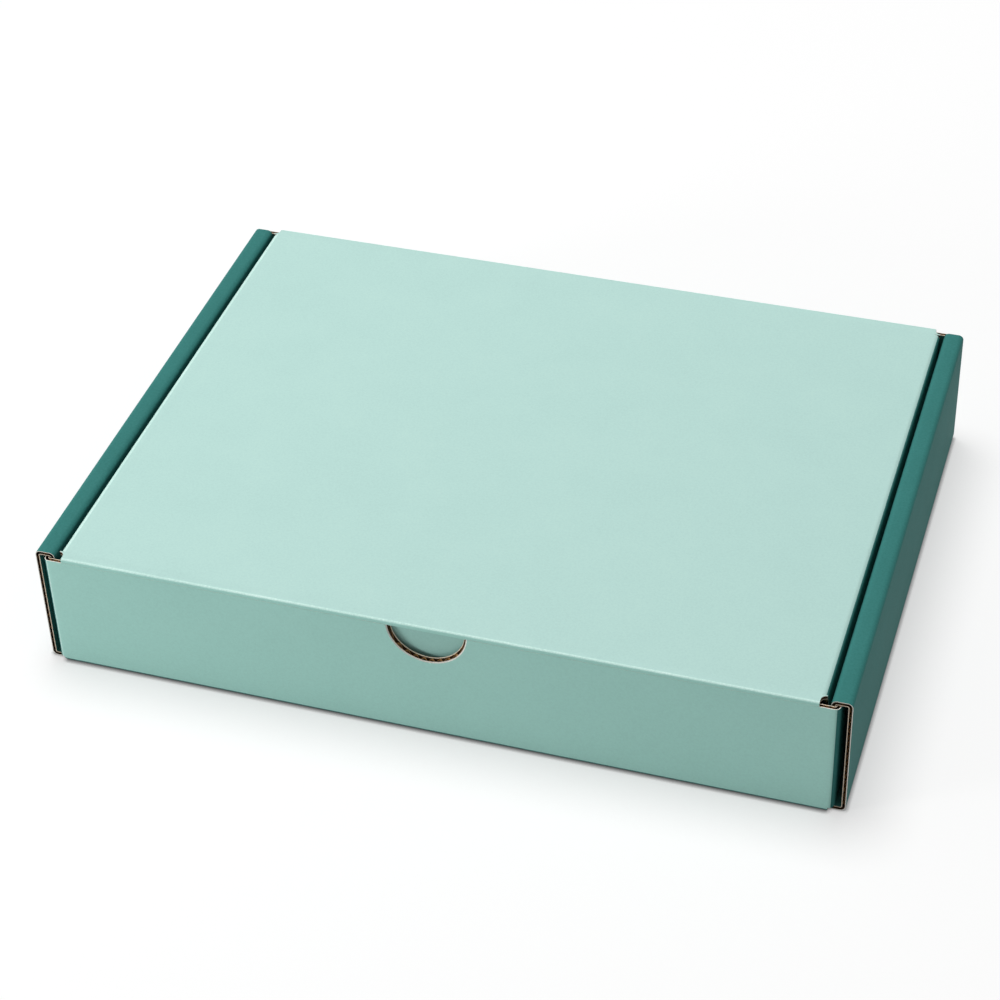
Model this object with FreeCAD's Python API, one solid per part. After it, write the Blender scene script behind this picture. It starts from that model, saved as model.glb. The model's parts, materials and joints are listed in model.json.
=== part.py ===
"""Corrugated mailer box, a roll-end tuck-front carton folded from one die-cut sheet of E-flute board.

The tray is the floor with its folded walls: the side walls roll over a wide top and come down again on
the inside, where two tabs lock through slots in the floor; the front and rear walls carry ears that
stand hidden in the hollow side walls. The lid hinges on the crease along the rear wall. It has a wing
down each side and a tuck flap that drops behind the front wall, below a half-round thumb notch.

Millimetres, +Z up, X along the front wall, the front wall facing -Y. The origin is the centre of the
footprint, on the surface that the box stands on.
"""
import FreeCAD
import Part
import math
import os
from FreeCAD import Vector

# Board
board = 1.7               # thickness of the board: two liners and the fluted sheet between them
crease_radius = 0.45      # inside radius of every fold
liner = 0.3               # thickness of each liner
medium = 0.2              # thickness of the fluted sheet
flute_pitch = 3.3         # from one wave of the fluted sheet to the next
flute_depth = 4.0         # how deep the open flutes are modelled at a cut edge

# Room inside the closed box
inside_width = 304.8      # between the inner side walls
inside_depth = 235.0      # from the front wall to the rear wall
inside_height = 50.8      # from the floor to the underside of the lid

# Rolled side walls
ear_room = 2.6            # free room in a side wall, outside the ears
ear_play = 0.4            # from an ear to the inner side wall
wall_end_gap = 0.7        # from the end of a side wall to the front or rear wall
floor_play = 0.6          # from the floor to the lower edge of the inner walls and the ears

# Lock tabs of the inner side walls, and their slots in the floor
tab_width = 34.0
tab_spacing = 128.0       # from the middle of one tab to the middle of the other
tab_taper = 2.0           # how much each side of a tab draws in at its tip
slot_play = 0.35          # all round a tab in its slot

# Ears of the front and rear walls
ear_length = 62.0
ear_slope = 7.0           # how much an ear's free end is lower than its root
ear_corner = 9.0          # radius of an ear's free corners

# Thumb notch in the front wall
notch_width = 31.5        # along the wall's top edge
notch_depth = 15.0        # from the wall's top edge
notch_slant = 1.2         # how much smaller the notch is on the wall's inside, because its rim is cut aslant

# Lid
lid_side_gap = 1.7        # from the lid's side edge to the inner side wall
lid_rest_gap = 0.2        # from the lid's underside to the top edges of the front and rear walls
lid_front_gap = 0.15      # how far the lid's front edge stays behind the outside of the front wall
relief_radius = 2.2       # round reliefs at the lid's corners, where two creases meet
front_relief = 4.4        # how far the reliefs at the front corners run back from the lid's front edge
hinge_gap = 0.15          # from the rounded top of the rear wall to the lid

# Tuck flap
flap_depth = 42.0         # from the lid's underside to the flap's free edge
flap_wall_gap = 0.3       # from the front wall to the flap, at the top of the flap
flap_inset = 3.4          # from the end of the lid's front edge to the flap's side, at its root
flap_taper = 5.0          # how much each side of the flap draws in at its free edge
flap_corner = 7.0         # radius of the flap's free corners
swing_gap = 0.5           # from the flap's free edge to the front wall as the lid swings up

# Side wings of the lid
wing_depth = 39.0         # from the lid's underside to the wing's free edge
wing_end_gap = 0.4        # from the reliefs at the lid's corners to the root of a wing
wing_taper = 22.0         # how much each end of a wing draws in at its free edge
wing_corner = 8.0         # radius of a wing's free corners

# How far a cut starts outside the surface that it goes into
cut_overlap = 0.1

# Outside sizes and levels that follow from them
fold_outside = crease_radius + board
roll_width = 3 * board + ear_room + ear_play
half_width = inside_width / 2 + roll_width
half_depth = inside_depth / 2 + board
height = inside_height + 2 * board
lid_underside = height - board
wall_top = lid_underside - lid_rest_gap
half_front = half_width - board - ear_room      # half the width over the ears
side_wall_end = half_depth - board - wall_end_gap
half_lid = inside_width / 2 - lid_side_gap
half_crease = half_lid - relief_radius          # half the length of the lid's hinge crease
notch_radius = (notch_depth ** 2 + (notch_width / 2) ** 2) / (2 * notch_depth)
notch_centre = wall_top - notch_depth + notch_radius
hinge_y = half_depth - board / 2
hinge_z = height - board / 2
lid_front = -half_depth + lid_front_gap
lid_rear = hinge_y - board / 2 - hinge_gap
wing_front = lid_front + front_relief + wing_end_gap
wing_rear = lid_rear - relief_radius - wing_end_gap


def folded_section(corners):
    """Face of a board-thick strip whose middle line runs through these corners, with a round fold at each."""
    count = len(corners)
    along = [(corners[i + 1] - corners[i]).normalize() for i in range(count - 1)]
    plane = along[0].cross(along[1]).normalize() if count > 2 else None
    across = [plane.cross(direction) for direction in along]
    middle_radius = crease_radius + board / 2

    def side_edges(sign):
        """Edges of one face of the strip, from its first end to its last."""
        edges = []
        start = corners[0] + across[0] * (sign * board / 2)
        for i in range(1, count - 1):
            turn = across[i - 1].dot(along[i])
            left = 1 if turn > 0 else -1
            angle = math.acos(max(-1.0, min(1.0, along[i - 1].dot(along[i]))))
            run_in = middle_radius * math.tan(angle / 2)
            centre = corners[i] - along[i - 1] * run_in + across[i - 1] * (left * middle_radius)
            radius = middle_radius - left * sign * board / 2
            first = centre - across[i - 1] * (left * radius)
            last = centre - across[i] * (left * radius)
            halfway = centre - (across[i - 1] + across[i]).normalize() * (left * radius)
            edges.append(Part.makeLine(start, first))
            edges.append(Part.Arc(first, halfway, last).toShape())
            start = last
        edges.append(Part.makeLine(start, corners[-1] + across[-1] * (sign * board / 2)))
        return edges

    near, far = side_edges(1), side_edges(-1)
    caps = [
        Part.makeLine(corners[0] + across[0] * (board / 2), corners[0] - across[0] * (board / 2)),
        Part.makeLine(corners[-1] + across[-1] * (board / 2), corners[-1] - across[-1] * (board / 2)),
    ]
    return Part.Face(Part.Wire(Part.__sortEdges__(near + far + caps)))


def extruded(face, direction, length):
    """The face drawn out along a direction, as a solid."""
    return face.extrude(direction * length)


def rounded_outline(corners, radii):
    """Face inside a closed outline of straight edges, with its corners rounded by these radii (0 is sharp)."""
    count = len(corners)
    edges = []
    starts, ends, arcs = [], [], []
    for i, radius in enumerate(radii):
        here, before, after = corners[i], corners[i - 1], corners[(i + 1) % count]
        to_before = (before - here).normalize()
        to_after = (after - here).normalize()
        half_angle = to_before.getAngle(to_after) / 2
        back = radius / math.tan(half_angle)
        starts.append(here + to_before * back)
        ends.append(here + to_after * back)
        if radius > 0:
            bisector = (to_before + to_after).normalize()
            nearest = here + bisector * (radius / math.sin(half_angle) - radius)
            arcs.append(Part.Arc(starts[i], nearest, ends[i]).toShape())
    for i in range(count):
        edges.append(Part.makeLine(ends[i], starts[(i + 1) % count]))
    return Part.Face(Part.Wire(Part.__sortEdges__(edges + arcs)))


def flute_cell(root, along, across, inward, sunk=0):
    """One open flute: a wedge between a liner and the fluted sheet, its base on the liner at root.

    The edge that it opens in may be sunk below root.
    """
    core = board - 2 * liner
    slant = math.atan2(core, flute_pitch / 2)
    half_base = flute_pitch / 2 - medium / 2 / math.sin(slant)
    tip = core - medium / 2 / math.cos(slant)
    mouth = root - inward * cut_overlap
    outline = Part.makePolygon([
        mouth - along * half_base,
        mouth + along * half_base,
        mouth + across * tip,
        mouth - along * half_base,
    ])
    return Part.Face(outline).extrude(inward * (flute_depth + sunk + cut_overlap))


def open_flutes(start, end, across, inward):
    """The open flutes along a cut edge whose middle runs from start to end: wedges on both liners in turn."""
    run = (end - start).Length
    along = (end - start).normalize()
    count = int(run / flute_pitch - 0.5)
    first = start + along * ((run - (count + 0.5) * flute_pitch) / 2 + flute_pitch / 2)
    to_liner = across * (board / 2 - liner)
    cells = []
    for i in range(count):
        near = first + along * (i * flute_pitch)
        cells.append(flute_cell(near - to_liner, along, across, inward))
        cells.append(flute_cell(near + along * (flute_pitch / 2) + to_liner, along, -across, inward))
    return cells


def floor_and_side_walls():
    """The floor, the outer side walls, their rolled tops and the inner side walls: one strip folded six times."""
    outer = half_width - board / 2
    inner = inside_width / 2 + board / 2
    low, top, edge = board / 2, height - board / 2, board + floor_play
    corners = [
        Vector(-inner, -side_wall_end, edge),
        Vector(-inner, -side_wall_end, top),
        Vector(-outer, -side_wall_end, top),
        Vector(-outer, -side_wall_end, low),
        Vector(outer, -side_wall_end, low),
        Vector(outer, -side_wall_end, top),
        Vector(inner, -side_wall_end, top),
        Vector(inner, -side_wall_end, edge),
    ]
    return extruded(folded_section(corners), Vector(0, 1, 0), 2 * side_wall_end)


def lock_tab(side, middle_y):
    """A tab on the lower edge of an inner side wall, down to the underside of the floor."""
    root = board + floor_play
    face_x = side * inside_width / 2
    corners = [
        Vector(face_x, middle_y - tab_width / 2, root),
        Vector(face_x, middle_y + tab_width / 2, root),
        Vector(face_x, middle_y + tab_width / 2 - tab_taper, 0),
        Vector(face_x, middle_y - tab_width / 2 + tab_taper, 0),
    ]
    return extruded(rounded_outline(corners, [0, 0, 0, 0]), Vector(side, 0, 0), board)


def lock_slot(side, middle_y):
    """The slot in the floor that a lock tab goes through."""
    across = board + 2 * slot_play
    along = tab_width + 2 * slot_play
    slot = Part.makeBox(across, along, board, Vector(0, middle_y - along / 2, 0))
    slot.translate(Vector(side * (inside_width / 2 + board / 2) - across / 2, 0, 0))
    return slot


def end_wall(facing, top):
    """The front (-1) or rear (+1) wall between its ears' folds, folded up from the floor as high as top."""
    face_y = facing * (half_depth - board / 2)
    floor_edge = facing * (side_wall_end - fold_outside)
    between_folds = half_front - fold_outside
    corners = [
        Vector(-between_folds, floor_edge, board / 2),
        Vector(-between_folds, face_y, board / 2),
        Vector(-between_folds, face_y, top),
    ]
    return extruded(folded_section(corners), Vector(1, 0, 0), 2 * between_folds)


def ears(facing):
    """The two ears of the front or rear wall, with the strip of wall between their folds."""
    face_y = facing * (half_depth - board / 2)
    ear_end = facing * (half_depth - ear_length)
    ear_x = half_front - board / 2
    bottom = board + floor_play
    corners = [
        Vector(-ear_x, ear_end, bottom),
        Vector(-ear_x, face_y, bottom),
        Vector(ear_x, face_y, bottom),
        Vector(ear_x, ear_end, bottom),
    ]
    strip = extruded(folded_section(corners), Vector(0, 0, 1), wall_top - bottom)
    root = facing * half_depth
    slope_start = facing * (half_depth - fold_outside)
    outline = [
        Vector(-half_front, root, bottom),
        Vector(-half_front, root, wall_top),
        Vector(-half_front, slope_start, wall_top),
        Vector(-half_front, ear_end, wall_top - ear_slope),
        Vector(-half_front, ear_end, bottom),
    ]
    shape = rounded_outline(outline, [0, 0, 0, ear_corner, ear_corner])
    return strip.common(extruded(shape, Vector(1, 0, 0), 2 * half_front))


def thumb_notch():
    """The round notch in the top edge of the front wall, with a slanting rim that faces outwards."""
    outer_face = Vector(0, -half_depth, notch_centre)
    return Part.makeCone(notch_radius, notch_radius - notch_slant, board, outer_face, Vector(0, 1, 0))


def hinge_bead():
    """The crease along the top of the rear wall, between the lid's reliefs and rounded about the hinge axis."""
    length = 2 * half_crease
    rise = hinge_z - wall_top + board
    neck = Part.makeBox(length, board, rise, Vector(-half_crease, half_depth - board, wall_top - board))
    bead = Part.makeCylinder(board / 2, length, Vector(-half_crease, hinge_y, hinge_z), Vector(1, 0, 0))
    return neck.fuse(bead)


def side_wall_flutes():
    """Open flutes on the front and rear ends of the rolled side walls: outer wall, rolled top and inner wall."""
    outer = half_width - board / 2
    inner = inside_width / 2 + board / 2
    low, top, edge = fold_outside, height - fold_outside, board + floor_play
    cells = []
    for facing in (-1, 1):
        for side in (-1, 1):
            end = facing * side_wall_end
            runs = [
                (Vector(side * outer, end, low), Vector(side * outer, end, top), Vector(1, 0, 0)),
                (Vector(side * inner, end, edge), Vector(side * inner, end, top), Vector(1, 0, 0)),
            ]
            for start, stop, across in runs:
                cells += open_flutes(start, stop, across, Vector(0, -facing, 0))
    return cells


def wall_top_flutes():
    """Open flutes along the top of the front wall, and of the rear wall beside the lid."""
    reach = half_front - fold_outside
    down = Vector(0, 0, -1)
    face_y = half_depth - board / 2
    cells = []
    for side in (-1, 1):
        for facing, start in ((-1, notch_width / 2), (1, half_crease)):
            y = facing * face_y
            cells += open_flutes(
                Vector(side * start, y, wall_top), Vector(side * reach, y, wall_top), Vector(0, 1, 0), down
            )
    return cells


def notch_flutes():
    """Open flutes in the rim of the thumb notch, cut from the wall's top edge down to below the curved rim."""
    count = int(notch_width / flute_pitch)
    rim_radius = notch_radius - notch_slant / 2
    y = -half_depth + board / 2
    cells = []
    for i in range(2 * count - 1):
        x = (i - count + 1) * flute_pitch / 2
        rim = notch_centre - math.sqrt(rim_radius ** 2 - x ** 2)
        face = 1 if i % 2 else -1
        root = Vector(x, y + face * (board / 2 - liner), wall_top)
        cells.append(flute_cell(root, Vector(1, 0, 0), Vector(0, -face, 0), Vector(0, 0, -1), wall_top - rim))
    return cells


def ear_flutes(facing):
    """Open flutes along the sloping tops of the ears of the front or rear wall."""
    ear_x = half_front - board / 2
    start_y = facing * (half_depth - fold_outside)
    end_y = facing * (half_depth - ear_length)
    slope = Vector(0, end_y - start_y, -ear_slope).normalize()
    run = ((half_depth - fold_outside) - (half_depth - ear_length)) / abs(slope.y) - ear_corner
    cells = []
    for side in (-1, 1):
        start = Vector(side * ear_x, start_y, wall_top)
        cells += open_flutes(start, start + slope * run, Vector(1, 0, 0), Vector(0, 0, -1))
    return cells


def tray():
    """Floor, walls and ears as one folded sheet."""
    sheet = floor_and_side_walls()
    for facing in (-1, 1):
        sheet = sheet.fuse([end_wall(facing, wall_top), ears(facing)])
    sheet = sheet.fuse(hinge_bead()).cut(thumb_notch())
    places = [(side, middle * tab_spacing / 2) for side in (-1, 1) for middle in (-1, 1)]
    sheet = sheet.cut([lock_slot(side, y) for side, y in places])
    sheet = sheet.fuse([lock_tab(side, y) for side, y in places]).removeSplitter()
    return sheet.cut(side_wall_flutes() + wall_top_flutes() + notch_flutes() + ear_flutes(-1) + ear_flutes(1))


def lid_panel():
    """The top panel, from the hinge to its rounded front crease, which lies on the front wall."""
    nose = lid_front + board / 2
    panel = Part.makeBox(2 * half_lid, lid_rear - nose, board, Vector(-half_lid, nose, lid_underside))
    crease = Part.makeCylinder(
        board / 2, 2 * half_lid, Vector(-half_lid, nose, lid_underside + board / 2), Vector(1, 0, 0)
    )
    return panel.fuse(crease)


def wings():
    """The lid's side wings with the strip of panel between their folds."""
    wing_x = half_lid - board / 2
    low = lid_underside - wing_depth
    middle = height - board / 2
    corners = [
        Vector(-wing_x, wing_front, low),
        Vector(-wing_x, wing_front, middle),
        Vector(wing_x, wing_front, middle),
        Vector(wing_x, wing_front, low),
    ]
    strip = extruded(folded_section(corners), Vector(0, 1, 0), wing_rear - wing_front)
    outline = [
        Vector(-half_lid, wing_front, height),
        Vector(-half_lid, wing_rear, height),
        Vector(-half_lid, wing_rear, lid_underside - fold_outside),
        Vector(-half_lid, wing_rear - wing_taper, low),
        Vector(-half_lid, wing_front + wing_taper, low),
        Vector(-half_lid, wing_front, lid_underside - fold_outside),
    ]
    shape = rounded_outline(outline, [0, 0, 0, wing_corner, wing_corner, 0])
    return strip.common(extruded(shape, Vector(1, 0, 0), 2 * half_lid))


def wing_fold_cuts():
    """What is cut off the panel's square side edges along the wings, so that the wings' folds are round."""
    length = wing_rear - wing_front
    centre_z = height - fold_outside
    cuts = []
    for side in (-1, 1):
        block = Part.makeBox(fold_outside, length, fold_outside)
        block.translate(Vector(side * (half_lid - fold_outside / 2) - fold_outside / 2, wing_front, centre_z))
        post = Part.makeCylinder(
            fold_outside, length, Vector(side * (half_lid - fold_outside), wing_front, centre_z), Vector(0, 1, 0)
        )
        cuts.append(block.cut(post))
    return cuts


def flap_lean():
    """How far the tuck flap leans back, so that its free edge clears the front wall on the way up."""
    hinge_to_wall = hinge_y + half_depth - board
    drop = hinge_z - (lid_underside - flap_depth)
    tip_back = hinge_to_wall - math.sqrt((hinge_to_wall - swing_gap) ** 2 - drop ** 2)
    return math.atan2(tip_back - flap_wall_gap, flap_depth)


def flap_directions():
    """Root of the tuck flap's front face, its length, and its directions: down along it and back through it."""
    lean = flap_lean()
    root = Vector(0, -half_depth + board + flap_wall_gap, lid_underside)
    down = Vector(0, math.sin(lean), -math.cos(lean))
    back = Vector(0, math.cos(lean), math.sin(lean))
    return root, flap_depth / math.cos(lean), down, back


def tuck_flap():
    """The flap behind the front wall, leaning back a little."""
    root, length, down, back = flap_directions()
    across = Vector(1, 0, 0)
    half_root = half_lid - flap_inset
    start = root - down * (board / 2)
    corners = [
        start - across * half_root,
        start + across * half_root,
        root + down * length + across * (half_root - flap_taper),
        root + down * length - across * (half_root - flap_taper),
    ]
    shape = rounded_outline(corners, [0, 0, flap_corner, flap_corner])
    return extruded(shape, back, board)


def flap_flutes():
    """Open flutes along the tuck flap's free edge."""
    root, length, down, back = flap_directions()
    reach = half_lid - flap_inset - flap_taper - flap_corner
    middle = root + down * length + back * (board / 2)
    return open_flutes(middle - Vector(reach, 0, 0), middle + Vector(reach, 0, 0), back, down * -1)


def flap_crease():
    """Fillet inside the fold of the tuck flap."""
    wall_face = -half_depth + board
    inner_face = wall_face + flap_wall_gap + board
    half_root = half_lid - flap_inset
    block = Part.makeBox(
        2 * half_root, crease_radius + board / 2, crease_radius,
        Vector(-half_root, inner_face - board / 2, lid_underside - crease_radius),
    )
    hollow = Part.makeCylinder(
        crease_radius, 2 * half_root,
        Vector(-half_root, inner_face + crease_radius, lid_underside - crease_radius), Vector(1, 0, 0),
    )
    return block.cut(hollow)


def corner_reliefs():
    """Reliefs at the lid's corners: round at the rear, and slots with a round root at the front."""
    root = lid_front + front_relief - relief_radius
    mouth = lid_front - cut_overlap
    cuts = []
    for side in (-1, 1):
        edge = side * half_lid
        for y in (root, lid_rear):
            cuts.append(Part.makeCylinder(relief_radius, board, Vector(edge, y, lid_underside)))
        corner = Vector(edge - relief_radius, mouth, lid_underside)
        cuts.append(Part.makeBox(2 * relief_radius, root - mouth, board, corner))
    return cuts


def wing_flutes():
    """Open flutes on the slanting front and rear ends of the wings."""
    wing_x = half_lid - board / 2
    low = lid_underside - wing_depth
    top = lid_underside - fold_outside
    cells = []
    for facing, root in ((-1, wing_front), (1, wing_rear)):
        slant = Vector(0, -facing * wing_taper, low - top)
        run = 1 - wing_corner / slant.Length
        for side in (-1, 1):
            start = Vector(side * wing_x, root, top)
            cells += open_flutes(start, start + slant * run, Vector(1, 0, 0), Vector(0, -facing, 0))
    return cells


def lid():
    """Top panel, wings and tuck flap as one folded sheet."""
    panel = lid_panel().cut(wing_fold_cuts())
    sheet = panel.fuse([wings(), tuck_flap(), flap_crease()])
    sheet = sheet.cut(corner_reliefs()).removeSplitter()
    return sheet.cut(wing_flutes() + flap_flutes())


def write(name, shape):
    """One STEP file for a sub-part, after a check that it is one closed, valid solid."""
    if len(shape.Solids) != 1 or not shape.isValid():
        raise ValueError(f"{name}: {len(shape.Solids)} solids, valid {shape.isValid()}")
    solid = shape.Solids[0]
    solid.exportStep(f"parts/{name}.step")
    box = solid.BoundBox
    print(f"{name}: {solid.Volume / 1000:.1f} cm3, {len(solid.Faces)} faces, "
          f"x {box.XMin:.2f} {box.XMax:.2f}, y {box.YMin:.2f} {box.YMax:.2f}, z {box.ZMin:.2f} {box.ZMax:.2f}")


os.makedirs("parts", exist_ok=True)
write("tray", tray())
write("lid", lid())
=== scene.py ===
"""Corrugated mailer box: one die-cut sheet of printed E-flute board, folded into a tray and its lid."""

import json
import math

import bmesh
import bpy
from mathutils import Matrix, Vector

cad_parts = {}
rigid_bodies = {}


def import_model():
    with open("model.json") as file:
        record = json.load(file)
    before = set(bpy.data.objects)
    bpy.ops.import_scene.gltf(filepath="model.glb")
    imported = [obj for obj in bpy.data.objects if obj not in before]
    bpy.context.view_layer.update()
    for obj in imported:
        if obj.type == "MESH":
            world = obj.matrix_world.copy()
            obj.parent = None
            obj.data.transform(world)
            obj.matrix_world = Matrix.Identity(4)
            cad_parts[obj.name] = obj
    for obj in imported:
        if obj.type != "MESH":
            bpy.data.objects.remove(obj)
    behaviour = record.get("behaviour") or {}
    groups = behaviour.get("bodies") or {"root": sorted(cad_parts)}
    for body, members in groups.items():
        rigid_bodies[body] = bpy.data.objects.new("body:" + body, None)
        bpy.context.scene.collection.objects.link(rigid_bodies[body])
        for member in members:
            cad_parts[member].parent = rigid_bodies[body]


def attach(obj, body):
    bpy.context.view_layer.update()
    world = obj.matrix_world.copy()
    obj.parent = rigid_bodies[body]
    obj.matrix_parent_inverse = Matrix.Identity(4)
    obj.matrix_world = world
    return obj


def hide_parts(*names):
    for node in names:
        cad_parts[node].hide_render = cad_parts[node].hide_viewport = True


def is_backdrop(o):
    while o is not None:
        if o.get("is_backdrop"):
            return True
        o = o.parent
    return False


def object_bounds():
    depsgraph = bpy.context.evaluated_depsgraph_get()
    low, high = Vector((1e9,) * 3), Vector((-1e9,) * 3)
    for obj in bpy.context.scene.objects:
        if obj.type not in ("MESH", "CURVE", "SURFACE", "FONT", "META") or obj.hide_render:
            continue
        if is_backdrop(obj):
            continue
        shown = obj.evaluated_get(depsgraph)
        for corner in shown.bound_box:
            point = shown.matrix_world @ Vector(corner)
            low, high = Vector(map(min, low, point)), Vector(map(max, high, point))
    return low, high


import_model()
cad_low, cad_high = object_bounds()
MM = 0.001

# The board
# E-flute is a waved sheet of brown paper glued between two flat liners, 1.6 to 1.8 mm thick in all.
# The blank is cut by steel rules, so its raw edges show both liners with the open waves between them.
BOARD = 1.7 * MM
LINER = 0.3 * MM
MEDIUM = 0.15 * MM
FLUTE_PITCH = 3.3 * MM
CREASE_RADIUS = 0.45 * MM
FOLD_OUTSIDE = CREASE_RADIUS + BOARD
FOLD_MIDDLE = CREASE_RADIUS + BOARD / 2
FOLD_STEPS = 6
CORNER_REACH = 0.9
OPEN_CORE = 4.0 * MM
SAME_PLACE = 0.01 * MM
MERGE_REACH = 0.02 * MM
SHEET_SMOOTHING = math.radians(25)

# Printed liner: matt flexo ink on a white-top paper, whose fibres and clouds show through as soft mottle.
# A real fibre is finer than the render can show, so the mottle is drawn at about a millimetre.
FIBRE = 0.9 * MM
CLOUD = 22 * MM
FIBRE_SHARE = 0.75
MOTTLE_LOW, MOTTLE_HIGH = 0.34, 0.66
RIDGE_SHARE = 0.16
INK_RELIEF = 0.05 * MM

# Raw paper: no ink, so its cut fibres scatter the light and leave it dull and grainy.
CUT_GRAIN = 0.5 * MM
KRAFT_GRAIN = 0.6 * MM
GRAIN_LOW, GRAIN_HIGH = 0.34, 0.68
GRAIN_RELIEF = 0.06 * MM

# The waved sheet in an open edge, drawn just inside the cut.
WAVE_STEPS = 10
WAVE_INSET = 0.06 * MM
WAVE_END_GAP = 0.1 * MM
WAVE_SMOOTHING = math.radians(40)
RULE_PUSH = 0.6 * MM


def linear(hex_colour):
    """Linear RGBA from an sRGB hex colour such as "#b9ddd6"."""
    values = [int(hex_colour[i:i + 2], 16) / 255 for i in (1, 3, 5)]
    return [v / 12.92 if v <= 0.04045 else ((v + 0.055) / 1.055) ** 2.4 for v in values] + [1.0]


def add_node(tree, kind, settings=None, inputs=None, links=None):
    """Adds a node: attributes from settings, socket values from inputs, and links from other sockets."""
    node = tree.nodes.new(kind)
    for name, value in (settings or {}).items():
        setattr(node, name, value)
    for name, value in (inputs or {}).items():
        node.inputs[name].default_value = value
    for name, source in (links or {}).items():
        tree.links.new(source, node.inputs[name])
    return node


def empty_material(name):
    """A new material with only its Principled shader and output, and the shader's node tree."""
    material = bpy.data.materials.new(name)
    material.use_nodes = True
    return material, material.node_tree, material.node_tree.nodes["Principled BSDF"]


def printed_liner(name, ink, pale, deep, roughness, gloss, ridges):
    """White-top liner under a coat of flexo ink: fine fibre mottle and faint ridges of the flutes below.

    The ridges have the board's own pitch and are counted along the axes that ridges names.
    """
    material, tree, shader = empty_material(name)
    place = add_node(tree, "ShaderNodeTexCoord").outputs["Object"]
    fibre = add_node(tree, "ShaderNodeTexNoise", inputs={
        "Scale": 1 / FIBRE, "Detail": 4.0, "Roughness": 0.65}, links={"Vector": place})
    cloud = add_node(tree, "ShaderNodeTexNoise", inputs={
        "Scale": 1 / CLOUD, "Detail": 3.0, "Roughness": 0.55}, links={"Vector": place})
    cloud_part = add_node(tree, "ShaderNodeMath", {"operation": "MULTIPLY"},
                          {1: 1 - FIBRE_SHARE}, {0: cloud.outputs["Fac"]})
    ink_coat = add_node(tree, "ShaderNodeMath", {"operation": "MULTIPLY_ADD"},
                        {1: FIBRE_SHARE}, {0: fibre.outputs["Fac"], 2: cloud_part.outputs[0]})
    ramp = add_node(tree, "ShaderNodeValToRGB", links={"Fac": ink_coat.outputs[0]})
    ramp.color_ramp.elements[0].position = MOTTLE_LOW
    ramp.color_ramp.elements[0].color = linear(deep)
    ramp.color_ramp.elements[1].position = MOTTLE_HIGH
    ramp.color_ramp.elements[1].color = linear(pale)
    ramp.color_ramp.elements.new((MOTTLE_LOW + MOTTLE_HIGH) / 2).color = linear(ink)
    tree.links.new(ramp.outputs["Color"], shader.inputs["Base Color"])
    split = add_node(tree, "ShaderNodeSeparateXYZ", links={0: place})
    across = add_node(tree, "ShaderNodeMath", {"operation": "ADD"},
                      {1: 0.0}, {0: split.outputs[ridges[0]]})
    if len(ridges) > 1:
        tree.links.new(split.outputs[ridges[1]], across.inputs[1])
    phase = add_node(tree, "ShaderNodeMath", {"operation": "MULTIPLY"},
                     {1: 2 * math.pi / FLUTE_PITCH}, {0: across.outputs[0]})
    ridge = add_node(tree, "ShaderNodeMath", {"operation": "SINE"}, links={0: phase.outputs[0]})
    height = add_node(tree, "ShaderNodeMath", {"operation": "MULTIPLY_ADD"},
                      {1: RIDGE_SHARE}, {0: ridge.outputs[0], 2: fibre.outputs["Fac"]})
    bump = add_node(tree, "ShaderNodeBump", inputs={"Strength": 0.35, "Distance": INK_RELIEF},
                    links={"Height": height.outputs[0]})
    tree.links.new(bump.outputs["Normal"], shader.inputs["Normal"])
    shader.inputs["Roughness"].default_value = roughness
    shader.inputs["Specular IOR Level"].default_value = gloss
    return material


def raw_paper(name, tone, pale, deep, grain, roughness):
    """Cut or bare paper: short fibres in two tones, no ink."""
    material, tree, shader = empty_material(name)
    place = add_node(tree, "ShaderNodeTexCoord").outputs["Object"]
    fibre = add_node(tree, "ShaderNodeTexNoise", inputs={
        "Scale": 1 / grain, "Detail": 5.0, "Roughness": 0.7}, links={"Vector": place})
    ramp = add_node(tree, "ShaderNodeValToRGB", links={"Fac": fibre.outputs["Fac"]})
    ramp.color_ramp.elements[0].position = GRAIN_LOW
    ramp.color_ramp.elements[0].color = linear(deep)
    ramp.color_ramp.elements[1].position = GRAIN_HIGH
    ramp.color_ramp.elements[1].color = linear(pale)
    ramp.color_ramp.elements.new(0.5).color = linear(tone)
    tree.links.new(ramp.outputs["Color"], shader.inputs["Base Color"])
    bump = add_node(tree, "ShaderNodeBump", inputs={"Strength": 0.5, "Distance": GRAIN_RELIEF},
                    links={"Height": fibre.outputs["Fac"]})
    tree.links.new(bump.outputs["Normal"], shader.inputs["Normal"])
    shader.inputs["Roughness"].default_value = roughness
    shader.inputs["Specular IOR Level"].default_value = 0.2
    return material


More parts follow.
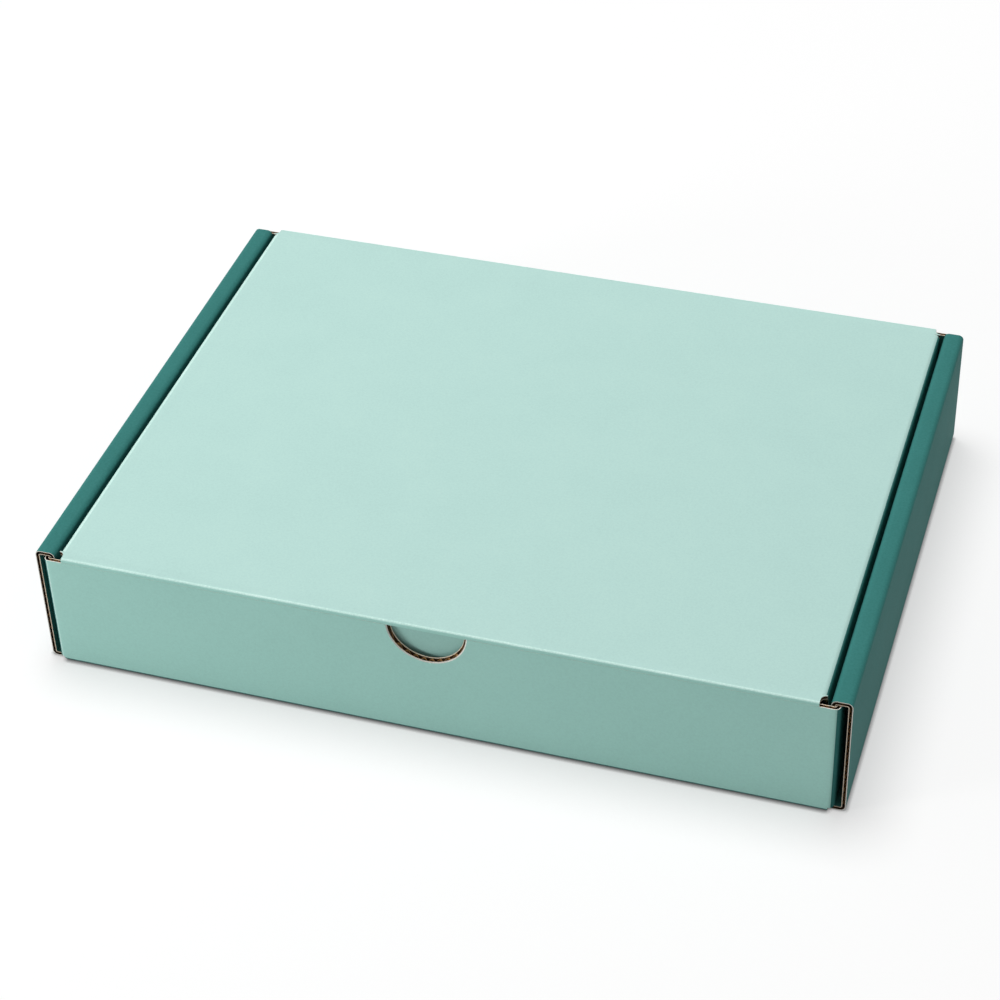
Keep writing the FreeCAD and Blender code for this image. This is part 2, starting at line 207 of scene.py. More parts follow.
# The board's faces and edges, in the order of the material slots.
PAPERS = {
    # Teal flood coat of the inside: quite matt, with no shine to catch. It is a shade paler than the
    # outside as painted light, standing for the light that reaches into the narrow gaps.
    "inside": printed_liner("teal_inside_lightened", "#42807a", "#478680", "#3c7771", 0.75, 0.15, ("X", "Z")),
    # Mint coat of the lid's top: matt, with the faint even sheen of pressed paper.
    "print": printed_liner("mint_print", "#bbdfd8", "#bfe2da", "#b7dbd4", 0.7, 0.2, ("X",)),
    # The same coat on the front and rear walls, a little fuller in colour: painted shade, a copy of the
    # lid's mint toned to how it looks on the walls in shade.
    "wall": printed_liner("mint_wall_shaded_copy", "#b5e9de", "#b8ece1", "#b1e5da", 0.7, 0.2, ("X",)),
    # The same coat on the tuck flap, a little deeper: painted shade, for the shade that the nose and the
    # front wall cast on it.
    "flap": printed_liner("mint_flap_painted_shade", "#abdbd1", "#aeded4", "#a7d7cd", 0.7, 0.2, ("X",)),
    # Mint stretched round a crease: the paper is pressed smooth, so it is paler. It is also painted
    # highlight, laid on the left folds and the top of the nose, which face the light.
    "fold": printed_liner("mint_fold_pale_and_highlight", "#cbefe6", "#ddfaf3", "#bbe1d9", 0.5, 0.35, ("X",)),
    # Deep teal coat of the side walls: the ink soaks in and leaves next to no shine.
    "teal": printed_liner("teal_print", "#377b76", "#3b807b", "#337570", 0.65, 0.1, ("X", "Z")),
    # Bleached top liner at a cut edge: a thin, bright, dull line beside the print.
    "white": raw_paper("white_liner", "#f6f3ea", "#fdfbf5", "#e6ddcd", CUT_GRAIN, 0.85),
    # Inner liner at a cut edge: warm and a little grainy.
    "cut": raw_paper("cut_liner", "#f0dfc9", "#f8ecdb", "#dcc2a2", CUT_GRAIN, 0.85),
    # Walls of the open cells: brown paper, painted dark as the shade deep inside the cells.
    "core": raw_paper("kraft_shade", "#3f2916", "#573a20", "#2a190c", KRAFT_GRAIN, 0.9),
    # Waved sheet in the cells: plain brown kraft paper.
    "medium": raw_paper("kraft_medium", "#a5794a", "#c39665", "#7b5330", KRAFT_GRAIN, 0.9),
}
SLOTS = {name: place for place, name in enumerate(PAPERS)}


def start_sheet(name, size_x, size_y, height):
    """A flat panel of board, drawn as the middle of its thickness, left in edit mode."""
    bpy.ops.object.select_all(action="DESELECT")
    bpy.ops.mesh.primitive_plane_add(size=1)
    sheet = bpy.context.object
    sheet.name = name
    bpy.ops.object.mode_set(mode="EDIT")
    bpy.ops.transform.resize(value=(size_x, size_y, 1))
    bpy.ops.transform.translate(value=(0, 0, height))
    return sheet


def pick(kind, test):
    """Selects the vertices, edges or faces whose every corner passes the test, and nothing else."""
    bpy.ops.mesh.select_mode(type=kind)
    bpy.ops.mesh.select_all(action="DESELECT")
    mesh = bpy.context.object.data
    editing = bmesh.from_edit_mesh(mesh)
    items = {"VERT": editing.verts, "EDGE": editing.edges, "FACE": editing.faces}[kind]
    for item in items:
        corners = [item] if kind == "VERT" else item.verts
        item.select_set(all(test(corner.co) for corner in corners))
    bmesh.update_edit_mesh(mesh)


def near(value, target):
    """Whether two places along an axis are the same."""
    return abs(value - target) < SAME_PLACE


def between(value, low, high):
    """Whether a place lies between two others or on one of them."""
    return low - SAME_PLACE < value < high + SAME_PLACE


def cut_line(test, point, normal):
    """Divides the faces that pass the test along a plane."""
    pick("FACE", test)
    bpy.ops.mesh.bisect(plane_co=point, plane_no=normal)


def extrude(x, y, z):
    """Draws what is selected out by this much."""
    bpy.ops.mesh.extrude_region_move(TRANSFORM_OT_translate={"value": (x, y, z)})


def move(x, y, z):
    """Moves what is selected by this much."""
    bpy.ops.transform.translate(value=(x, y, z))


def round_folds(test):
    """Rounds the folds whose edges pass the test."""
    pick("EDGE", test)
    bpy.ops.mesh.bevel(offset=FOLD_MIDDLE, segments=FOLD_STEPS, profile=0.5)


def round_corner(test, radius):
    """Rounds the cut corner at the vertex that passes the test."""
    pick("VERT", test)
    bpy.ops.mesh.bevel(offset=radius * CORNER_REACH, segments=FOLD_STEPS, affect="VERTICES", profile=0.5)


def pick_material(sheet, slot, test):
    """Selects the faces of one material slot whose centre and normal pass the test, and nothing else."""
    bpy.ops.mesh.select_mode(type="FACE")
    bpy.ops.mesh.select_all(action="DESELECT")
    editing = bmesh.from_edit_mesh(sheet.data)
    for face in editing.faces:
        is_slot = face.material_index == SLOTS[slot]
        face.select_set(is_slot and test(face.calc_center_median(), face.normal))
    bmesh.update_edit_mesh(sheet.data)


def assign(sheet, slot):
    """Gives a material slot to what is selected."""
    sheet.active_material_index = SLOTS[slot]
    bpy.ops.object.material_slot_assign()


def give_thickness(sheet, open_rims, is_fold=lambda centre, normal: False):
    """Turns the folded sheet into board: two faces, and a cut edge that shows both liners and the core.

    open_rims says which cut edges are open between the liners, and which way the flutes run into them.
    Where is_fold says so, the sheet's edge is a fold and stays closed.
    """
    for material in PAPERS.values():
        sheet.data.materials.append(material)
    bpy.ops.mesh.select_all(action="SELECT")
    bpy.ops.mesh.remove_doubles(threshold=MERGE_REACH)
    bpy.ops.object.mode_set(mode="OBJECT")
    board = sheet.modifiers.new("board", "SOLIDIFY")
    board.thickness = BOARD
    board.offset = 0
    board.use_even_offset = True
    board.material_offset = SLOTS["print"]
    board.material_offset_rim = SLOTS["core"]
    bpy.ops.object.modifier_apply(modifier="board")
    bpy.ops.object.mode_set(mode="EDIT")
    bpy.ops.mesh.select_all(action="SELECT")
    bpy.ops.mesh.normals_make_consistent(inside=False)
    pick_material(sheet, "core", is_fold)
    assign(sheet, "fold")
    pick_material(sheet, "core", lambda centre, normal: True)
    bpy.ops.mesh.inset(thickness=LINER, use_even_offset=True)
    editing = bmesh.from_edit_mesh(sheet.data)
    for face in editing.faces:
        if face.material_index == SLOTS["core"] and not face.select:
            beside = {other.material_index for edge in face.edges for other in edge.link_faces}
            face.material_index = SLOTS["white" if SLOTS["print"] in beside else "cut"]
    bmesh.update_edit_mesh(sheet.data)
    for is_open, inward in open_rims:
        pick_material(sheet, "core", is_open)
        extrude(*(inward * OPEN_CORE))
        bpy.ops.mesh.select_more()
        assign(sheet, "core")


def flutes(name, runs, body):
    """The waved sheet along cut edges, as one object that moves with a body.

    Each run is its start, its end, the direction across the board, the direction into it, and how far
    the edge is sunk below the straight line at a place on it.
    """
    depth = OPEN_CORE - WAVE_END_GAP
    swing = BOARD / 2 - LINER - MEDIUM / 2
    made = []
    for start, end, across, inward, sunk in runs:
        length = (end - start).length
        along = (end - start).normalized()
        count = max(1, round(length / FLUTE_PITCH))
        bpy.ops.object.select_all(action="DESELECT")
        bpy.ops.mesh.primitive_grid_add(x_subdivisions=count * WAVE_STEPS, y_subdivisions=1, size=1)
        wave = bpy.context.object
        for corner in wave.data.vertices:
            share = corner.co.x + 0.5
            offset = swing * math.cos(2 * math.pi * share * count)
            place = start + along * (share * length) + across * offset
            inset = WAVE_INSET + depth * (corner.co.y + 0.5) + sunk(place)
            corner.co = place + inward * inset
        solid = wave.modifiers.new("medium", "SOLIDIFY")
        solid.thickness = MEDIUM
        solid.offset = 0
        bpy.ops.object.modifier_apply(modifier="medium")
        made.append(wave)
    bpy.ops.object.select_all(action="DESELECT")
    for wave in made:
        wave.select_set(True)
    bpy.context.view_layer.objects.active = made[0]
    bpy.ops.object.join()
    joined = bpy.context.object
    joined.name = name
    joined.data.materials.append(PAPERS["medium"])
    bpy.ops.object.mode_set(mode="EDIT")
    bpy.ops.mesh.select_all(action="SELECT")
    bpy.ops.mesh.normals_make_consistent(inside=False)
    bpy.ops.object.mode_set(mode="OBJECT")
    bpy.ops.object.shade_smooth_by_angle(angle=WAVE_SMOOTHING)
    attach(joined, body)
    return joined


def level(place):
    """A cut edge that runs straight from its start to its end."""
    return 0


def set_back(place):
    """A straight cut edge whose waved sheet the rule has pushed in a little."""
    return RULE_PUSH


# Tray
# Floor, rolled side walls, front and rear wall with their ears, all one piece of the blank. The side
# walls roll over a wide top and lock through slots in the floor; the ears stand inside their hollow.
HALF_WIDTH = cad_high.x
HALF_DEPTH = cad_high.y
HEIGHT = cad_high.z
EAR_ROOM = 2.6 * MM
EAR_PLAY = 0.4 * MM
WALL_END_GAP = 0.7 * MM
FLOOR_PLAY = 0.6 * MM
REST_GAP = 0.2 * MM
LID_SIDE_GAP = 1.7 * MM
RELIEF_RADIUS = 2.2 * MM
EAR_LENGTH = 62 * MM
EAR_SLOPE = 7 * MM
EAR_CORNER = 9 * MM
EAR_TOP_END = 0.85
TAB_WIDTH = 34 * MM
TAB_SPACING = 128 * MM
TAB_TAPER = 2 * MM
SLOT_PLAY = 0.35 * MM
NOTCH_WIDTH = 31.5 * MM
NOTCH_DEPTH = 15 * MM
NOTCH_SLANT = 1.2 * MM
NOTCH_LIP = 0.25 * MM
NOTCH_STEPS = 32
BEAD_ROUNDING = 0.98
PRINT_EDGE = 0.4 * MM

middle = BOARD / 2
outer_x = HALF_WIDTH - middle
inner_x = HALF_WIDTH - 3 * BOARD - EAR_ROOM - EAR_PLAY + middle
front_reach = HALF_WIDTH - BOARD - EAR_ROOM
ear_x = front_reach - middle
fold_x = front_reach - FOLD_OUTSIDE
end_y = HALF_DEPTH - BOARD - WALL_END_GAP
wall_y = HALF_DEPTH - middle
roll_z = HEIGHT - middle
wall_top = HEIGHT - BOARD - REST_GAP
foot_z = BOARD + FLOOR_PLAY
notch_radius = (NOTCH_DEPTH ** 2 + (NOTCH_WIDTH / 2) ** 2) / (2 * NOTCH_DEPTH)
notch_centre = wall_top - NOTCH_DEPTH + notch_radius
rim_radius = notch_radius - NOTCH_SLANT / 2
notch_half = math.sqrt(rim_radius ** 2 - (notch_centre - wall_top) ** 2)
slot_half = middle + SLOT_PLAY
half_lid = inner_x - middle - LID_SIDE_GAP
half_crease = half_lid - RELIEF_RADIUS
hinge_y = HALF_DEPTH - middle
hinge_z = HEIGHT - middle
tab_lines = [side * TAB_SPACING / 2 + end * TAB_WIDTH / 2 for side in (-1, 1) for end in (-1, 1)]

tray = start_sheet("tray_sheet", 2 * outer_x, 2 * end_y, middle)
for side in (-1, 1):
    for x in (fold_x, inner_x - slot_half, inner_x + slot_half):
        cut_line(lambda co: True, (side * x, 0, 0), (1, 0, 0))
    for end in (-1, 1):
        y = side * TAB_SPACING / 2 + end * (TAB_WIDTH / 2 + SLOT_PLAY)
        cut_line(lambda co: True, (0, y, 0), (0, 1, 0))


def in_slot(co, side, end):
    """Whether a floor vertex bounds the lock slot on this side and towards this end."""
    across = between(side * co.x, inner_x - slot_half, inner_x + slot_half)
    reach = TAB_WIDTH / 2 + SLOT_PLAY
    return across and between(end * co.y, TAB_SPACING / 2 - reach, TAB_SPACING / 2 + reach)


for side in (-1, 1):
    for end in (-1, 1):
        pick("FACE", lambda co: in_slot(co, side, end))
        bpy.ops.mesh.delete(type="FACE")

for side in (-1, 1):
    pick("EDGE", lambda co: near(co.x, side * outer_x))
    extrude(0, 0, roll_z - middle)
    extrude(-side * (outer_x - inner_x), 0, 0)
    extrude(0, 0, foot_z - roll_z)
for y in tab_lines:
    cut_line(lambda co: near(abs(co.x), inner_x) and co.z > middle + MM, (0, y, 0), (0, 1, 0))
for side in (-1, 1):
    for end in (-1, 1):
        centre = end * TAB_SPACING / 2
        low, high = centre - TAB_WIDTH / 2, centre + TAB_WIDTH / 2
        pick("EDGE", lambda co: near(co.x, side * inner_x) and near(co.z, foot_z)
             and between(co.y, low, high))
        extrude(0, 0, -foot_z)
        for edge_y, taper in ((low, TAB_TAPER), (high, -TAB_TAPER)):
            pick("VERT", lambda co: near(co.x, side * inner_x) and near(co.z, 0) and near(co.y, edge_y))
            move(0, taper, 0)

for facing in (-1, 1):
    pick("EDGE", lambda co: near(co.y, facing * end_y) and near(co.z, middle)
         and between(abs(co.x), 0, fold_x))
    extrude(0, facing * (wall_y - end_y), 0)
    extrude(0, 0, foot_z - middle)
    extrude(0, 0, wall_top - foot_z)
    for side in (-1, 1):
        pick("EDGE", lambda co: near(co.x, side * fold_x) and near(co.y, facing * wall_y)
             and between(co.z, foot_z, wall_top))
        extrude(side * FOLD_MIDDLE, 0, 0)
        extrude(0, facing * (HALF_DEPTH - EAR_LENGTH - wall_y), 0)

        def ear_end(co):
            """Whether a vertex is at the free end of this ear."""
            return near(co.x, side * ear_x) and near(co.y, facing * (HALF_DEPTH - EAR_LENGTH))

        pick("VERT", lambda co: ear_end(co) and near(co.z, wall_top))
        move(0, 0, -EAR_SLOPE)
        round_corner(lambda co: ear_end(co) and near(co.z, wall_top - EAR_SLOPE), EAR_CORNER)
        round_corner(lambda co: ear_end(co) and near(co.z, foot_z), EAR_CORNER)


def on_front_wall(co):
    """Whether a vertex belongs to the front wall above its lower fold."""
    return near(co.y, -wall_y) and co.z > foot_z - SAME_PLACE


for x in (-notch_half, notch_half):
    cut_line(on_front_wall, (x, 0, 0), (1, 0, 0))
pick("EDGE", lambda co: on_front_wall(co) and near(co.z, wall_top)
     and between(abs(co.x), 0, notch_half))
bpy.ops.mesh.subdivide(number_cuts=NOTCH_STEPS - 1)
sheet = bmesh.from_edit_mesh(tray.data)
half_turn = math.asin(notch_half / rim_radius)
for vertex in sheet.verts:
    if vertex.select and not near(abs(vertex.co.x), notch_half):
        turn = vertex.co.x / notch_half * half_turn
        vertex.co.x = rim_radius * math.sin(turn)
        vertex.co.z = notch_centre - rim_radius * math.cos(turn)
bmesh.update_edit_mesh(tray.data)

for side in (-1, 1):
    cut_line(lambda co: near(co.y, wall_y) and co.z > foot_z - SAME_PLACE,
             (side * half_crease, 0, 0), (1, 0, 0))
pick("EDGE", lambda co: near(co.y, wall_y) and near(co.z, wall_top)
     and between(abs(co.x), 0, half_crease))
extrude(0, 0, HEIGHT - wall_top)

round_folds(lambda co: near(abs(co.x), outer_x) and near(co.z, middle))
round_folds(lambda co: near(abs(co.x), outer_x) and near(co.z, roll_z))
round_folds(lambda co: near(abs(co.x), inner_x) and near(co.z, roll_z))
round_folds(lambda co: near(abs(co.y), wall_y) and near(co.z, middle))
round_folds(lambda co: near(abs(co.y), wall_y) and near(abs(co.x), ear_x))
up = Vector((0, 0, 1))
down = Vector((0, 0, -1))
across_x = Vector((1, 0, 0))
across_y = Vector((0, 1, 0))


def on_wall_top(centre, normal):
    """Whether a cut face belongs to the top of the front or rear wall, its ears, or the thumb notch."""
    in_notch = centre.y < 0 and abs(centre.x) < notch_half and normal.z > 0.3
    return in_notch or (between(centre.z, wall_top - EAR_SLOPE, wall_top) and normal.z > 0.5)


def on_hinge_crease(centre, normal):
    """Whether a face belongs to the rounded crease on top of the rear wall."""
    is_above = centre.z > wall_top + 5 * SAME_PLACE
    return is_above and abs(centre.y - hinge_y) < BOARD and abs(centre.x) < half_crease


give_thickness(tray, [
    (lambda centre, normal: near(centre.y, -end_y) and normal.y < -0.9, across_y),
    (lambda centre, normal: near(centre.y, end_y) and normal.y > 0.9, -across_y),
    (on_wall_top, down),
], lambda centre, normal: near(centre.z, HEIGHT) and near(centre.y, hinge_y))
pick("EDGE", lambda co: near(abs(co.y - hinge_y), middle) and near(co.z, HEIGHT)
     and between(abs(co.x), 0, half_crease))
bpy.ops.mesh.bevel(offset=middle * BEAD_ROUNDING, segments=FOLD_STEPS, profile=0.5)
bpy.ops.object.mode_set(mode="OBJECT")
bpy.ops.object.shade_smooth_by_angle(angle=SHEET_SMOOTHING)
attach(tray, "tray")
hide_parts("tray")


def rim_at(depth):
    """Radius of the notch's slanting rim at this depth into the front wall."""
    return rim_radius - NOTCH_SLANT * (depth / BOARD - 0.5)


for vertex in tray.data.vertices:
    depth = vertex.co.y + HALF_DEPTH
    arm = Vector((vertex.co.x, 0, vertex.co.z - notch_centre))
    if depth < BOARD + SAME_PLACE and near(arm.length, rim_radius):
        lip = NOTCH_LIP if near(depth, 0) else 0
        vertex.co += arm.normalized() * (rim_at(depth) - rim_radius + lip)


def is_teal(centre, normal):
    """Whether a printed face is teal: the underside, the side walls, their tops, and the ears."""
    # The underside's teal reaches round the lowest part of the bottom folds: partly print, partly painted
    # shade, the dark line where the folds meet the floor.
    if normal.z < -0.35:
        return True
    return abs(centre.x) > inner_x - BOARD and abs(centre.y) < HALF_DEPTH - PRINT_EDGE


# The teal coat starts on the right front fold. The left folds are pale, partly pressed paper and partly
# painted highlight from the light on the left; the other mint faces take the walls' mint, a painted shade
# copy.
for face in tray.data.polygons:
    if face.material_index == SLOTS["print"]:
        is_highlit_left_fold = face.normal.x < -0.2 and abs(face.normal.y) > 0.1
        is_right_fold = face.normal.x > 0.5 and face.normal.y < -0.1
        if is_right_fold or is_teal(face.center, face.normal):
            face.material_index = SLOTS["teal"]
        else:
            face.material_index = SLOTS["fold" if is_highlit_left_fold else "wall"]
    if on_hinge_crease(face.center, face.normal) and abs(face.normal.x) < 0.5:
        face.material_index = SLOTS["wall"] if face.normal.y > -0.3 else SLOTS["inside"]


def notch_rim(place):
    """How far the thumb notch's rim lies below the wall's top at a place along it."""
    return wall_top - notch_centre + math.sqrt(rim_at(place.y + HALF_DEPTH) ** 2 - place.x ** 2)


tray_runs = [(Vector((-notch_half + MM, -wall_y, wall_top)), Vector((notch_half - MM, -wall_y, wall_top)),
              across_y, down, notch_rim)]
for facing in (-1, 1):
    into = Vector((0, -facing, 0))
    end = facing * end_y
    low_z, high_z = middle + FOLD_MIDDLE, roll_z - FOLD_MIDDLE
    slope_end = facing * (HALF_DEPTH - EAR_LENGTH + EAR_CORNER)
    wall_start = notch_half if facing < 0 else half_crease
    for side in (-1, 1):
        tray_runs += [
            (Vector((side * outer_x, end, low_z)),
             Vector((side * outer_x, end, high_z)), across_x, into, set_back),
            (Vector((side * inner_x, end, foot_z)),
             Vector((side * inner_x, end, high_z)), across_x, into, set_back),
            (Vector((side * (outer_x - FOLD_MIDDLE), end, roll_z)),
             Vector((side * (inner_x + FOLD_MIDDLE), end, roll_z)), up, into, set_back),
            (Vector((side * (outer_x - FOLD_MIDDLE), end, middle)),
             Vector((side * fold_x, end, middle)), up, into, set_back),
            (Vector((side * wall_start, facing * wall_y, wall_top)),
             Vector((side * fold_x, facing * wall_y, wall_top)), across_y, down, level),
            (Vector((side * ear_x, facing * (wall_y - FOLD_MIDDLE), wall_top)),
             Vector((side * ear_x, slope_end, wall_top - EAR_SLOPE * EAR_TOP_END)), across_x, down, level),
        ]
flutes("tray_flutes", tray_runs, "tray")

# Lid
# Top panel with a wing down each side, printed mint above and teal on the wings. Its front crease is
# rolled and lies on the front wall's top edge, and its rear crease hinges on the rear wall.
LID_FRONT_GAP = 0.03 * MM
FRONT_RELIEF = 4.4 * MM
HINGE_GAP = 0.15 * MM
WING_DEPTH = 39 * MM
WING_END_GAP = 0.4 * MM
WING_TAPER = 22 * MM
WING_CORNER = 8 * MM
SLIT = 0.15 * MM
NOSE_RADIUS = 0.9 * MM
NOSE_FOOT = 0.06 * MM
RELIEF_ROUNDING = 0.96
CONCAVE = 0.086

lid_z = HEIGHT - middle
underside = HEIGHT - BOARD
wing_x = half_lid - middle
nose_y = -HALF_DEPTH + LID_FRONT_GAP
rear_y = hinge_y - middle - HINGE_GAP
wing_foot = underside - WING_DEPTH
wing_front = nose_y + FRONT_RELIEF + WING_END_GAP
wing_rear = rear_y - RELIEF_RADIUS - WING_END_GAP

flat_x = half_lid - FOLD_OUTSIDE
lid = start_sheet("lid_sheet", 2 * wing_x, wing_rear - wing_front, lid_z)
move(0, (wing_rear + wing_front) / 2, 0)
bpy.ops.mesh.flip_normals()
for side in (-1, 1):
    pick("EDGE", lambda co: near(co.x, side * wing_x))
    extrude(0, 0, wing_foot - lid_z)
    for end, taper in ((wing_front, WING_TAPER), (wing_rear, -WING_TAPER)):
        pick("VERT", lambda co: near(co.x, side * wing_x) and near(co.z, wing_foot) and near(co.y, end))
        move(0, taper, 0)
        round_corner(lambda co: near(co.x, side * wing_x) and near(co.z, wing_foot)
                     and near(co.y, end + taper), WING_CORNER)
round_folds(lambda co: near(abs(co.x), wing_x) and near(co.z, lid_z))

# Past the wings the panel runs on to its front and rear creases. A slit parts it from the wing's fold, and
# a relief with a hollow, rounded root is cut from each corner.
front_root = nose_y + FRONT_RELIEF - RELIEF_RADIUS
for end, root, reach in ((wing_front, front_root, nose_y), (wing_rear, rear_y, rear_y)):
    slit_y = end + math.copysign(SLIT, end)
    pick("EDGE", lambda co: near(co.y, end) and near(co.z, lid_z) and between(abs(co.x), 0, flat_x))
    extrude(0, slit_y - end, 0)
    extrude(0, root - slit_y, 0)
    if not near(root, reach):
        extrude(0, reach - root, 0)
    for side in (-1, 1):
        pick("EDGE", lambda co: near(co.x, side * flat_x)
             and between(abs(co.y), abs(slit_y), abs(root)))
        extrude(side * FOLD_OUTSIDE, 0, 0)
        pick("VERT", lambda co: near(co.x, side * half_lid) and near(co.y, root))
        bpy.ops.mesh.bevel(offset=RELIEF_RADIUS * RELIEF_ROUNDING, segments=FOLD_STEPS,
                           affect="VERTICES", profile=CONCAVE)


def on_wing_end(centre, normal):
    """Whether a cut face belongs to the slanting front or rear end of a wing."""
    is_low = centre.z < lid_z - FOLD_MIDDLE
    return is_low and between(abs(centre.x), flat_x, half_lid) and abs(normal.y) > 0.9


give_thickness(lid, [
    (lambda centre, normal: on_wing_end(centre, normal) and centre.y < 0, across_y),
    (lambda centre, normal: on_wing_end(centre, normal) and centre.y > 0, -across_y),
], lambda centre, normal: near(centre.y, nose_y))

# The nose is the rolled front crease, which comes down on the front wall's top.
pick("EDGE", lambda co: near(co.y, nose_y) and near(co.z, HEIGHT))
bpy.ops.mesh.bevel(offset=NOSE_RADIUS, segments=FOLD_STEPS, profile=0.5)
pick("EDGE", lambda co: near(co.y, nose_y) and near(co.z, underside))
move(0, 0, wall_top - underside)
bpy.ops.mesh.bevel(offset=NOSE_FOOT, segments=2, profile=0.5)

# Both liners run on over the rear wall's crease, so the board is whole there, open and closed.
for liner in ("cut", "white"):
    pick_material(lid, liner, lambda centre, normal: near(centre.y, rear_y) and normal.y > 0.9)
    extrude(0, hinge_y - rear_y, 0)
bpy.ops.object.mode_set(mode="OBJECT")

# The wings are teal, and the print runs on under the nose. The left fold and the top of the nose are pale,
# partly pressed paper and partly painted highlight, and the nose's front takes the walls' mint, a painted
# shade copy.
for face in lid.data.polygons:
    if face.material_index == SLOTS["print"] and abs(face.normal.x) > 0.75:
        face.material_index = SLOTS["teal"]
    elif face.material_index == SLOTS["print"] and face.normal.x < -0.05:
        face.material_index = SLOTS["fold"]
    is_nose = face.center.y < nose_y + NOSE_RADIUS and abs(face.normal.x) < 0.5
    if is_nose or near(face.center.y, nose_y):
        face.material_index = SLOTS["fold" if face.normal.z > 0.5 else "wall"]
    if face.center.y < front_root and face.normal.z < -0.5:
        face.material_index = SLOTS["print"]
    if face.center.y > rear_y + 5 * SAME_PLACE and abs(face.normal.z) > 0.9:
        face.material_index = SLOTS["print"] if face.center.z > lid_z else SLOTS["inside"]
bpy.ops.object.shade_smooth_by_angle(angle=SHEET_SMOOTHING)

# Tuck flap
# It hangs from the lid's front crease and leans back a little, so that its edge clears the front wall.
# Printed mint outside, where the thumb notch shows it, and bare of glue or tape.
FLAP_DEPTH = 42 * MM
FLAP_WALL_GAP = 0.5 * MM
FLAP_INSET = 3.4 * MM
FLAP_TAPER = 5 * MM
FLAP_CORNER = 7 * MM
SWING_GAP = 0.5 * MM

hinge_to_wall = hinge_y + HALF_DEPTH - BOARD
flap_drop = hinge_z - (underside - FLAP_DEPTH)
tip_back = hinge_to_wall - math.sqrt((hinge_to_wall - SWING_GAP) ** 2 - flap_drop ** 2)
lean = math.atan2(tip_back - FLAP_WALL_GAP, FLAP_DEPTH)
flap_length = FLAP_DEPTH / math.cos(lean)
flap_down = Vector((0, math.sin(lean), -math.cos(lean)))
flap_back = Vector((0, math.cos(lean), math.sin(lean)))
flap_root = Vector((0, -HALF_DEPTH + BOARD + FLAP_WALL_GAP, underside)) + flap_back * middle
half_root = half_lid - FLAP_INSET

flap = start_sheet("tuck_flap", 2 * half_root, flap_length, 0)
bpy.ops.mesh.flip_normals()
move(0, -flap_length / 2, 0)
for side in (-1, 1):
    pick("VERT", lambda co: near(co.x, side * half_root) and near(co.y, -flap_length))
    move(-side * FLAP_TAPER, 0, 0)
    round_corner(lambda co: near(co.x, side * (half_root - FLAP_TAPER)) and near(co.y, -flap_length),
                 FLAP_CORNER)
bpy.ops.mesh.select_all(action="SELECT")
bpy.ops.transform.rotate(value=-math.pi / 2 - lean, orient_axis="X", center_override=(0, 0, 0))
bpy.ops.transform.translate(value=flap_root)
give_thickness(flap, [
    (lambda centre, normal: centre.z < underside - FLAP_DEPTH + MM and normal.z < -0.9, -flap_down),
], lambda centre, normal: centre.z > underside - MM)
bpy.ops.object.mode_set(mode="OBJECT")
# The flap's mint is its deeper copy: painted shade where the thumb notch shows it.
for face in flap.data.polygons:
    if face.material_index == SLOTS["print"]:
        face.material_index = SLOTS["flap"]
bpy.ops.object.shade_smooth_by_angle(angle=SHEET_SMOOTHING)
bpy.ops.object.select_all(action="DESELECT")
flap.select_set(True)
lid.select_set(True)
bpy.context.view_layer.objects.active = lid
bpy.ops.object.join()
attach(lid, "lid")
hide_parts("lid")

flap_reach = half_root - FLAP_TAPER - FLAP_CORNER
flap_edge = flap_root + flap_down * flap_length
lid_runs = [(flap_edge - across_x * flap_reach, flap_edge + across_x * flap_reach,
             flap_back, -flap_down, level)]
for end, taper in ((wing_front, WING_TAPER), (wing_rear, -WING_TAPER)):
    for side in (-1, 1):
        top = Vector((side * wing_x, end, lid_z - FOLD_MIDDLE))
        foot = Vector((side * wing_x, end + taper, wing_foot))
        share = 1 - WING_CORNER / (foot - top).length
        into = Vector((0, math.copysign(1, taper), 0))
        lid_runs.append((top, top.lerp(foot, share), across_x, into, level))
flutes("lid_flutes", lid_runs, "lid")

# Studio
# A pale sweep of paper as the floor, which turns to plain white away from the box, a wide soft lamp
# overhead, behind and to the left, a small soft lamp low on the left, which lights the front wall from
# its left end, and a dim white room.
FLOOR_SIZE = 12.0
FLOOR_GLOW = 0.56
FLOOR_PAPER = 0.467
FLOOR_BOUNCE = 0.45
CONTACT_SHADOW_REACH = 2.0 * MM
CONTACT_SHADOW_DEPTH = 1.25
SWEEP_START = 0.3
SWEEP_END = 0.9
ROOM_LIGHT = 0.27
LAMPS = [
    ("overhead_lamp", (-0.35, 0.4, 2.3), 1.4, 38.0),
    ("left_lamp", (-1.1, -0.8, 0.22), 0.4, 7.0),
]

bpy.ops.object.select_all(action="DESELECT")
bpy.ops.mesh.primitive_plane_add(size=FLOOR_SIZE)
floor = bpy.context.object
floor.name = "studio_floor"
paper, tree, shader = empty_material("studio_paper")
shader.inputs["Roughness"].default_value = 1.0
shader.inputs["Specular IOR Level"].default_value = 0.0
rays = add_node(tree, "ShaderNodeLightPath")
seen = add_node(tree, "ShaderNodeMath", {"operation": "MAXIMUM"},
                links={0: rays.outputs["Is Camera Ray"], 1: rays.outputs["Is Glossy Ray"]})
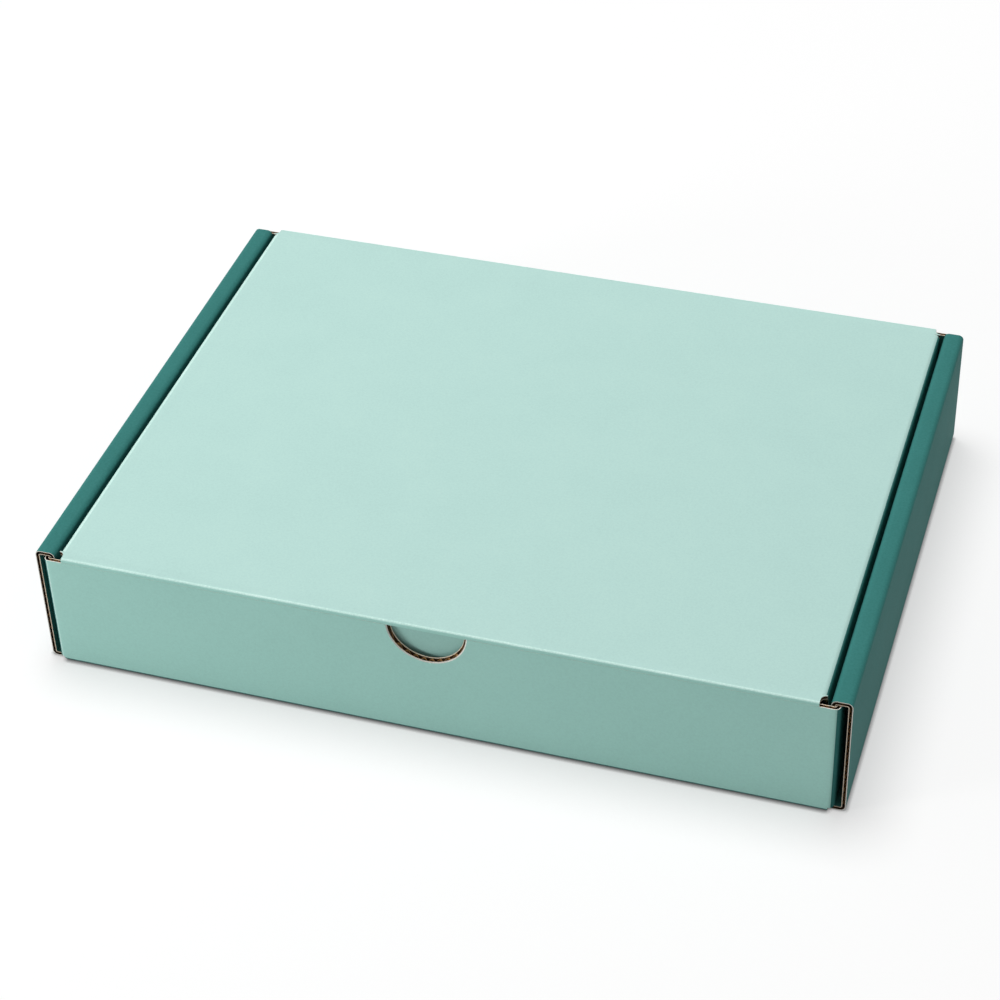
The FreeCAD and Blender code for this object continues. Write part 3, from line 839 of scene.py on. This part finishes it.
# An occlusion node darkens the floor's glow and tone close to the box: a painted contact shadow.
near_box = add_node(tree, "ShaderNodeAmbientOcclusion", {"samples": 8}, {"Distance": CONTACT_SHADOW_REACH})
painted_contact_shadow = add_node(tree, "ShaderNodeMath", {"operation": "POWER"},
                   {1: CONTACT_SHADOW_DEPTH}, {0: near_box.outputs["AO"]})
tone = add_node(tree, "ShaderNodeMath", {"operation": "MULTIPLY"},
                {1: FLOOR_PAPER}, {0: painted_contact_shadow.outputs[0]})
tree.links.new(tone.outputs[0], shader.inputs["Base Color"])
strength = add_node(tree, "ShaderNodeMath", {"operation": "MULTIPLY"},
                    {1: FLOOR_GLOW}, {0: painted_contact_shadow.outputs[0]})
glow = add_node(tree, "ShaderNodeEmission", inputs={"Color": (1, 1, 1, 1)},
                links={"Strength": strength.outputs[0]})
lit = add_node(tree, "ShaderNodeAddShader", links={0: shader.outputs[0], 1: glow.outputs[0]})
bounce = add_node(tree, "ShaderNodeBsdfDiffuse",
                  inputs={"Color": (FLOOR_BOUNCE, FLOOR_BOUNCE, FLOOR_BOUNCE, 1)})
floor_place = add_node(tree, "ShaderNodeTexCoord").outputs["Object"]
distance = add_node(tree, "ShaderNodeVectorMath", {"operation": "LENGTH"}, links={0: floor_place})
sweep = add_node(tree, "ShaderNodeMapRange", {"interpolation_type": "SMOOTHSTEP"},
                 {"From Min": SWEEP_START, "From Max": SWEEP_END}, {"Value": distance.outputs["Value"]})
white = add_node(tree, "ShaderNodeEmission", inputs={"Color": (1, 1, 1, 1), "Strength": 1.0})
paper_seen = add_node(tree, "ShaderNodeMixShader",
                      links={0: sweep.outputs[0], 1: lit.outputs[0], 2: white.outputs[0]})
mix = add_node(tree, "ShaderNodeMixShader",
               links={0: seen.outputs[0], 1: bounce.outputs[0], 2: paper_seen.outputs[0]})
tree.links.new(mix.outputs[0], tree.nodes["Material Output"].inputs["Surface"])
floor.data.materials.append(paper)
floor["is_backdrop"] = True

world = bpy.data.worlds.new("studio_room")
bpy.context.scene.world = world
world.use_nodes = True
tree = world.node_tree
background = tree.nodes["Background"]
background.inputs["Color"].default_value = (1, 1, 1, 1)
rays = add_node(tree, "ShaderNodeLightPath")
seen = add_node(tree, "ShaderNodeMath", {"operation": "MAXIMUM"},
                links={0: rays.outputs["Is Camera Ray"], 1: rays.outputs["Is Glossy Ray"]})
strength = add_node(tree, "ShaderNodeMapRange", inputs={"To Min": ROOM_LIGHT, "To Max": 1.0},
                    links={"Value": seen.outputs[0]})
tree.links.new(strength.outputs[0], background.inputs["Strength"])

for name, place, size, power in LAMPS:
    bpy.ops.object.light_add(type="AREA", location=place)
    lamp = bpy.context.object
    lamp.name = name
    lamp.data.shape = "DISK"
    lamp.data.size = size
    lamp.data.energy = power
    lamp.rotation_euler = Vector(place).to_track_quat("Z", "Y").to_euler()

# Camera
# A moderate telephoto from above the front, turned a little to the right of the front wall's normal.
bpy.ops.object.camera_add(location=(0.2609, -0.8017, 0.7083),
                          rotation=[math.radians(angle) for angle in (50.853, 1.604, 17.314)])
camera = bpy.context.object
camera.data.sensor_width = 36.0
camera.data.lens = 94.94
bpy.context.scene.camera = camera
bpy.context.scene.view_settings.view_transform = "Standard"

low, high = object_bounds()
